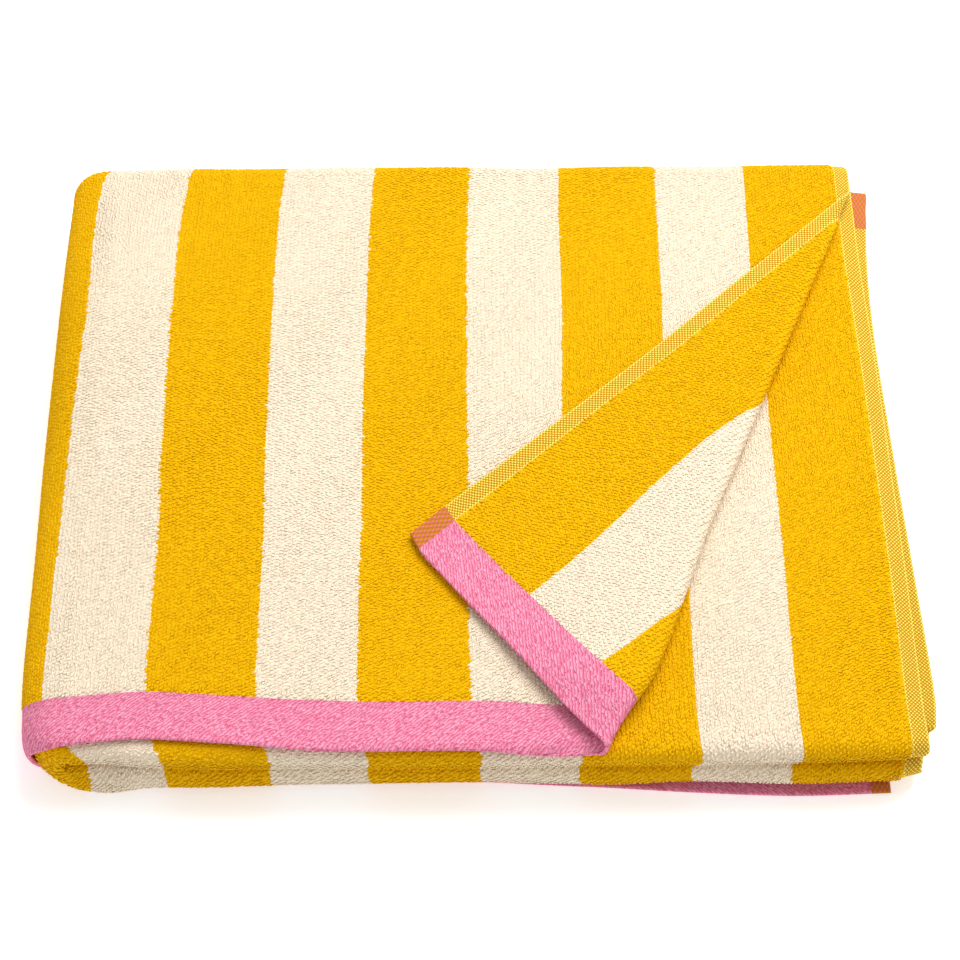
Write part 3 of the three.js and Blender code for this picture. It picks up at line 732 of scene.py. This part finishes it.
# %% Loops of each stretch that shows
THIRD_FROM = 4  # past the nose, where the third panel's own piece begins
panel_end = RUN["start"][1] / EASE_ALONG
turn_end = (RUN["start"][2] + FIRST_ENDS[1]) / EASE_ALONG
nose_start = (RUN["start"][3] + NOSE_STARTS[0]) / EASE_ALONG
nose_end = (RUN["start"][4] + THIRD_FROM) / EASE_ALONG
third_end = RUN["start"][5] / EASE_ALONG
loops = [
    loops_where("loops_left_fold", (300, 380), (0, panel_end), 1),
    loops_where("loops_top_left", (380, 500), (0, panel_end), 1),
    loops_where("loops_top_right", (500, WIDTH), (0, panel_end), 1, under_corner),
    loops_where("loops_back", (0, WIDTH), (panel_end, turn_end), 1),
    loops_where("loops_noses", (0, WIDTH), (nose_start, nose_end), 1, hang=0.45),
    loops_where("loops_third_panel", (WIDTH / 2, WIDTH), (nose_end, third_end), 1),
    loops_where("loops_corner", (WIDTH / 2, WIDTH), (0, panel_end), -1),
]

# %% [markdown]
# ## Colours of the yarn
# The stripes are woven, so they belong to the flat cloth: the finish reads the place in the flat
# cloth, and not the place in the room. The distance to the nearer side gives the stripe, and the
# distance to the nearer end gives the hem. A painted picture could do it too, but it would blur
# close up, and these edges stay sharp at any size.

# %% Colours
YELLOW = (0.85, 0.465, 0.0015, 1)
CREAM = (0.91, 0.77, 0.59, 1)
# The deep pink is painted shade in the hem's twill grooves, and the light pink is painted highlight
# on its ridges.
PAINTED_SHADE_PINK, PAINTED_HIGHLIGHT_PINK = (0.72, 0.11, 0.22, 1), (0.95, 0.36, 0.52, 1)
SELVEDGE_YELLOW = (0.60, 0.28, 0.006, 1)
SELVEDGE_PALE = (0.97, 0.82, 0.15, 1)
# Where the hem and the selvedge cross
MIXED_BROWN, MIXED_PINK = (0.52, 0.19, 0.012, 1), (0.72, 0.17, 0.17, 1)
COTTON_ROUGH, COTTON_SHINE = 0.9, 0.06


# %% A helper for finishes
class Finish:
    """A small helper that puts nodes into a material and joins them."""

    def __init__(self, name):
        self.material = bpy.data.materials.new(name)
        self.material.use_nodes = True
        self.tree = self.material.node_tree
        self.surface = self.tree.nodes["Principled BSDF"]

    def put(self, kind, inputs=(), output=0, **settings):
        """One node: its settings, and for each input by name or number a value or another
        output."""
        node = self.tree.nodes.new(kind)
        for key, value in settings.items():
            setattr(node, key, value)
        for key, value in dict(inputs).items():
            if isinstance(value, bpy.types.NodeSocket):
                self.tree.links.new(value, node.inputs[key])
            else:
                node.inputs[key].default_value = value
        return node.outputs[output]

    def sum(self, operation, a, b=0.0, c=0.0):
        """One Math node."""
        return self.put("ShaderNodeMath", {0: a, 1: b, 2: c}, operation=operation)

    def blend(self, share, a, b):
        """Colour a where the share is 0 and b where it is 1."""
        inputs = {0: share, 6: a, 7: b}
        return self.put("ShaderNodeMix", inputs, output=2, data_type="RGBA")

    def times(self, a, b):
        """a times b."""
        return self.sum("MULTIPLY", a, b)

    def spread(self, value, low, high, to_low=0.0, to_high=1.0):
        """A value between low and high as one between to_low and to_high, and no further."""
        return self.put("ShaderNodeMapRange", {0: value, 1: low, 2: high, 3: to_low, 4: to_high})

    def between(self, share, a, b):
        """Number a where the share is 0 and b where it is 1."""
        return self.put("ShaderNodeMix", {0: share, 2: a, 3: b}, data_type="FLOAT")

    def flat_place(self):
        """The place in the flat cloth in metres, and its u and v alone."""
        both = self.put("ShaderNodeUVMap", uv_map="flat_cloth")
        u = self.put("ShaderNodeSeparateXYZ", {0: both})
        return both, u, u.node.outputs[1]

    def to_nearer(self, place, size):
        """Distance to the nearer edge of cloth that is so wide or long."""
        return self.sum("MINIMUM", place, self.sum("SUBTRACT", size * MM, place))

    def strokes(self, place, angle, length, width):
        """Short uneven ridges: noise drawn out in one direction. Sizes in metres."""
        turned = self.put("ShaderNodeMapping", {"Vector": place, "Rotation": (0, 0, angle)})
        scale = (1 / length, 1 / width, 1)
        drawn = self.put("ShaderNodeMapping", {"Vector": turned, "Scale": scale})
        return self.put("ShaderNodeTexNoise", {"Vector": drawn, "Scale": 1.0, "Detail": 1.0})

    def wandering(self, place, size, most):
        """A place moved a little one way or the other by soft noise. Sizes in metres."""
        noise = self.put("ShaderNodeTexNoise", {"Vector": place, "Scale": 1 / size}, output=1)
        even = (0.5, 0.5, 0.5)
        move = self.put("ShaderNodeVectorMath", {0: noise, 1: even}, operation="SUBTRACT")
        move = self.put("ShaderNodeVectorMath", {0: move, "Scale": most}, operation="SCALE")
        return self.put("ShaderNodeVectorMath", {0: place, 1: move}, operation="ADD")

    def crossing(self, place, across, along):
        """Knots of a plain weave, 1 on a knot and -1 between: the product of two sines."""
        scale = (math.pi / across, math.pi / along, 1)
        turns = self.put("ShaderNodeMapping", {"Vector": place, "Scale": scale})
        x = self.put("ShaderNodeSeparateXYZ", {0: turns})
        return self.times(self.sum("SINE", x), self.sum("SINE", x.node.outputs[1]))

    def stripe(self, side):
        """1 on a cream stripe and 0 on a yellow one."""
        period = (YELLOW_STRIPE + CREAM_STRIPE) * MM
        past = self.sum("FLOORED_MODULO", self.sum("SUBTRACT", side, SELVEDGE * MM), period)
        return self.sum("GREATER_THAN", past, YELLOW_STRIPE * MM)


def plain_cotton(f, colour):
    """Cotton scatters light from its whole surface and hardly shines."""
    f.tree.links.new(colour, f.surface.inputs["Base Color"])
    f.surface.inputs["Roughness"].default_value = COTTON_ROUGH
    f.surface.inputs["Specular IOR Level"].default_value = COTTON_SHINE


# %% [markdown]
# ## Finish of the loops
# Dyed yarn is never quite even, so neighbouring loops differ a little. A noise would run through
# the loops. White noise of the loop's own place in the flat cloth gives each loop one tone
# instead.

# %% Finish of the loops
DARKEST_LOOP, LIGHTEST_LOOP = 0.93, 1.05


def loop_finish():
    """Yarn of the loops: a stripe's colour, each loop a little lighter or darker than the
    next."""
    f = Finish("terry_loops")
    both, u, _ = f.flat_place()
    colour = f.blend(f.stripe(f.to_nearer(u, WIDTH)), YELLOW, CREAM)
    chance = f.put("ShaderNodeTexWhiteNoise", {"Vector": both}, noise_dimensions="3D")
    light = f.spread(chance, 0.0, 1.0, DARKEST_LOOP, LIGHTEST_LOOP)
    plain_cotton(f, f.put("ShaderNodeHueSaturation", {"Value": light, "Color": colour}))
    return f.material


# %% [markdown]
# ## Finish of the woven ground
# The hem is a pink twill whose ridges are short and uneven; a deeper pink in its grooves is painted
# shade, and a lighter pink on its ridges is painted highlight. The selvedge is a plain weave with
# pale knots on yellow, and where it crosses the hem, pink dashes lie on brown. Threads this fine
# would be millions of faces, so they are a colour pattern, and the same pattern makes the bump. Sine
# waves give the threads, and soft noise moves them, because woven threads are never quite even.

# %% Sizes of the threads
RIDGE_ANGLE, RIDGE_LENGTH, RIDGE_WIDTH = -0.62, 0.0018, 0.0007
TWILL_ALONG, TWILL_ACROSS = 4570.0, 3430.0  # radians of the twill's waves for each metre
TWILL_STRAYS = 14.0  # how far the ridges move the twill's waves, in radians
TWILL_SHARE, RIDGE_SHARE = 0.5, 2.2  # of the twill and the ridges in the weave
WEAVE_SHADE_LEVEL, WEAVE_HIGHLIGHT_LEVEL = -0.7, 0.5  # where the weave takes the pink of painted shade and the pink of painted highlight
KNOT = 0.00082  # from knot to knot
DASH_ACROSS, DASH_ALONG = 0.00095, 0.0017
THREAD_WANDER, THREAD_STRAYS = 0.0021, 0.0006
PALE_RIM, PALER = 0.9, 0.35  # the selvedge's paler edges: width in millimetres, and how much paler
KNOT_FROM, KNOT_FULL = 0.05, 0.5  # where the pale yarn sets in and is full
DASH_FROM, DASH_FULL = 0.0, 0.4
HEM_OVER = 0.3  # millimetres that the hem's pink goes on under the first loops
THREAD_RELIEF = 0.00022  # height of the threads in the bump


# %% Finish of the ground
def hem_weave(f, both, u, v):
    """Twill of uneven short ridges: a sine of the slanting way, moved by drawn-out noise, and
    some of that noise itself."""
    ridges = f.strokes(both, RIDGE_ANGLE, RIDGE_LENGTH, RIDGE_WIDTH)
    slant = f.sum("SUBTRACT", f.times(v, TWILL_ALONG), f.times(u, TWILL_ACROSS))
    twill = f.sum("SINE", f.sum("ADD", slant, f.times(ridges, TWILL_STRAYS)))
    uneven = f.times(f.sum("SUBTRACT", ridges, 0.5), RIDGE_SHARE)
    return f.sum("ADD", f.times(twill, TWILL_SHARE), uneven)


def selvedge_dots(f, knots, side):
    """Pale knots on yellow, and more of them along both edges of the selvedge."""
    off_middle = f.sum("ABSOLUTE", f.sum("SUBTRACT", side, SELVEDGE * MM / 2))
    rim = f.sum("GREATER_THAN", off_middle, (SELVEDGE / 2 - PALE_RIM) * MM)
    level = f.sum("ADD", knots, f.times(rim, PALER))
    return f.blend(f.spread(level, KNOT_FROM, KNOT_FULL), SELVEDGE_YELLOW, SELVEDGE_PALE)


def sheet_finish():
    """The woven ground with its stripes, hems and selvedges, and the relief of their threads."""
    f = Finish("terry_ground")
    both, u, v = f.flat_place()
    side, end = f.to_nearer(u, WIDTH), f.to_nearer(v, LENGTH)
    ground = f.blend(f.stripe(side), YELLOW, CREAM)
    in_selvedge = f.sum("LESS_THAN", side, SELVEDGE * MM)
    in_hem = f.sum("LESS_THAN", end, (HEM + HEM_OVER) * MM)

    weave = hem_weave(f, both, u, v)
    # The hem's pink carries painted shade in the twill's grooves and painted highlight on its
    # ridges.
    pink_shade_and_highlight = f.blend(f.spread(weave, WEAVE_SHADE_LEVEL, WEAVE_HIGHLIGHT_LEVEL), PAINTED_SHADE_PINK, PAINTED_HIGHLIGHT_PINK)
    uneven = f.wandering(both, THREAD_WANDER, THREAD_STRAYS)
    knots = f.crossing(uneven, KNOT, KNOT)
    selvedge = selvedge_dots(f, knots, side)
    dashes = f.crossing(uneven, DASH_ACROSS, DASH_ALONG)
    mixed = f.blend(f.spread(dashes, DASH_FROM, DASH_FULL), MIXED_BROWN, MIXED_PINK)

    hem = f.blend(in_selvedge, pink_shade_and_highlight, mixed)
    plain_cotton(f, f.blend(in_hem, f.blend(in_selvedge, ground, selvedge), hem))
    relief = f.between(in_selvedge, weave, f.between(in_hem, knots, dashes))
    inputs = {"Strength": 1.0, "Distance": THREAD_RELIEF, "Height": relief}
    f.tree.links.new(f.put("ShaderNodeBump", inputs), f.surface.inputs["Normal"])
    return f.material


# %% Put the finishes on
sheet.data.materials.append(sheet_finish())
yarn = loop_finish()
for piece in loops:
    piece.data.materials.append(yarn)
print("finishes:", sheet.data.materials[0].name, "and", yarn.name)

# %% [markdown]
# ## Join the pieces to the part
# The real towel is one thing, so all its pieces ride on the part's one body. The sheet takes the
# place of the imported solid, and the loops go with it.

# %% Ride and replace
for piece in [sheet, *loops]:
    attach(piece, "root")
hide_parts("towel_cloth")
print("the sheet and", len(loops), "pieces of loops take the place of the packed cloth")

# %% [markdown]
# ## Floor, light and camera
# The towel lies on a plain white floor under one very large soft lamp from the back, with the
# light of a white room around it. A lamp alone would leave the floor grey and the front dark. So
# the floor glows a little, which keeps it white up to the towel, and the room lights the noses
# from the front.

# %% Floor
FLOOR_SIZE, FLOOR_GREY, FLOOR_GLOW = 6.0, 0.92, 0.42
bpy.ops.mesh.primitive_plane_add(size=FLOOR_SIZE)
floor = bpy.context.object
floor.name = "floor"
white = Finish("floor_white")
white.surface.inputs["Base Color"].default_value = (FLOOR_GREY, FLOOR_GREY, FLOOR_GREY, 1)
white.surface.inputs["Roughness"].default_value = 0.9
white.surface.inputs["Specular IOR Level"].default_value = 0.0
white.surface.inputs["Emission Color"].default_value = (1, 1, 1, 1)
white.surface.inputs["Emission Strength"].default_value = FLOOR_GLOW
floor.data.materials.append(white.material)
print("the floor is", FLOOR_SIZE, "m wide")

# %% Lamp and the light of the room
LAMP_PLACE, LAMP_AIM = np.array([0.45, 0.75, 1.3]), np.array([0, 0, 0.02])
LAMP_SIZE, LAMP_POWER, ROOM_LIGHT = 0.9, 26, 0.60
light = bpy.data.lights.new("key_lamp", "AREA")
light.size, light.energy = LAMP_SIZE, LAMP_POWER
lamp = bpy.data.objects.new("key_lamp", light)
lamp.location = LAMP_PLACE
away = LAMP_PLACE - LAMP_AIM
tilt = math.atan2(math.hypot(away[0], away[1]), away[2])
lamp.rotation_euler = (tilt, 0, math.atan2(away[0], -away[1]))
bpy.context.scene.collection.objects.link(lamp)
print("the lamp is", round(float(np.linalg.norm(away)), 2), "m from the towel")
room = bpy.data.worlds.new("white_room")
bpy.context.scene.world = room
room.use_nodes = True
room.node_tree.nodes["Background"].inputs["Color"].default_value = (1, 1, 1, 1)
room.node_tree.nodes["Background"].inputs["Strength"].default_value = ROOM_LIGHT
bpy.context.scene.view_settings.view_transform = "Standard"

# %% Camera
LENS, SENSOR = 76.556, 36  # millimetres
CAMERA_PLACE, CAMERA_TILT = (0.00280, -0.42935, 0.73983), 30  # degrees from straight down
camera = bpy.data.cameras.new("camera")
camera.lens, camera.sensor_width, camera.sensor_fit = LENS, SENSOR, "HORIZONTAL"
camera.clip_start, camera.clip_end = 0.01, 20
viewer = bpy.data.objects.new("camera", camera)
viewer.location = CAMERA_PLACE
viewer.rotation_euler = (math.radians(CAMERA_TILT), 0, 0)
bpy.context.scene.collection.objects.link(viewer)
bpy.context.scene.camera = viewer
print("the camera looks down from", round(CAMERA_PLACE[2], 2), "m over the floor")
